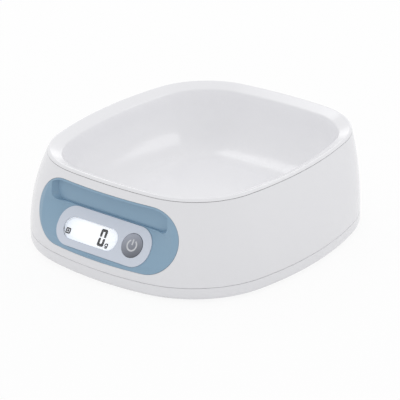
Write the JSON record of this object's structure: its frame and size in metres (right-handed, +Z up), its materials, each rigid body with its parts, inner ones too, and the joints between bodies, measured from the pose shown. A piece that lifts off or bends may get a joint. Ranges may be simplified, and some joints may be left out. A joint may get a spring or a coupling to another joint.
{
  "type": "digital kitchen scale",
  "caption": "Digital kitchen scale: rounded casing with a lift-out weighing bowl and a tilted display and power button set in a recess in the front wall.",
  "frame": {"origin": "on the table, under the middle of the base's outline", "axes": "+Z up, -Y towards the display side, +X to the right seen from the display side"},
  "size_m": [0.22, 0.24, 0.0732],
  "materials": {
    "white_gloss": "glossy white moulded ABS",
    "bezel_blue": "satin grey-blue moulded ABS",
    "panel_grey": "satin lavender-grey printed plate",
    "clear_lens": "clear polished plastic",
    "lcd": "liquid crystal cell",
    "backlight": "white light guide",
    "button_grey": "satin grey",
    "rubber_grey": "moulded rubber",
    "zebra_rubber": "striped silicone rubber",
    "board_green": "solder-masked circuit board",
    "black_resin": "black resin",
    "beam_aluminium": "milled aluminium",
    "sealant_white": "white silicone",
    "steel": "zinc-plated steel",
    "contact_nickel": "nickel-plated spring steel",
    "cell_jacket": "printed metal jacket without print"
  },
  "bodies": {
    "casing": {"load_cell": "beam_aluminium", "strain_gauge_coating": "sealant_white", "load_cell_screws": "steel", "upper_housing": "white_gloss", "base_tray": "white_gloss", "housing_screws": "steel", "rubber_feet": "rubber_grey", "display_bezel": "bezel_blue", "display_panel": "panel_grey", "lcd_window": "clear_lens", "lcd_glass": "lcd", "lcd_backlight": "backlight", "zebra_strip": "zebra_rubber", "main_board": "board_green", "controller_chip": "black_resin", "wire_socket": "sealant_white", "board_screws": "steel", "tact_switch": "black_resin", "batteries": "cell_jacket", "battery_contacts": "contact_nickel", "battery_springs": "contact_nickel"},
    "platform": {"weighing_platform": "white_gloss", "platform_pads": "rubber_grey", "platform_screws": "steel", "hub_spacer": "beam_aluminium"},
    "bowl": {"weighing_bowl": "white_gloss"},
    "button": {"power_button": "button_grey", "tact_plunger": "black_resin"},
    "door": {"battery_door": "white_gloss"}
  },
  "joints": [
    {"name": "platform_weigh", "type": "slide", "parent": "casing", "child": "platform", "axis": [0, 0, -1], "range_m": [0, 0.0002], "stiffness_N_per_m": 245250},
    {"name": "bowl_lift", "type": "slide", "parent": "platform", "child": "bowl", "axis": [0, 0, 1], "range_m": [0, 0.08]},
    {"name": "power_button_press", "type": "slide", "parent": "casing", "child": "button", "axis": [0, 0.8202, -0.5721], "range_m": [0, 0.0006], "stiffness_N_per_m": 4000},
    {"name": "battery_door_open", "type": "hinge", "parent": "casing", "child": "door", "pos_m": [0, 0.06285, 0.002], "axis": [1, 0, 0], "range_deg": [0, 85]}
  ]
}
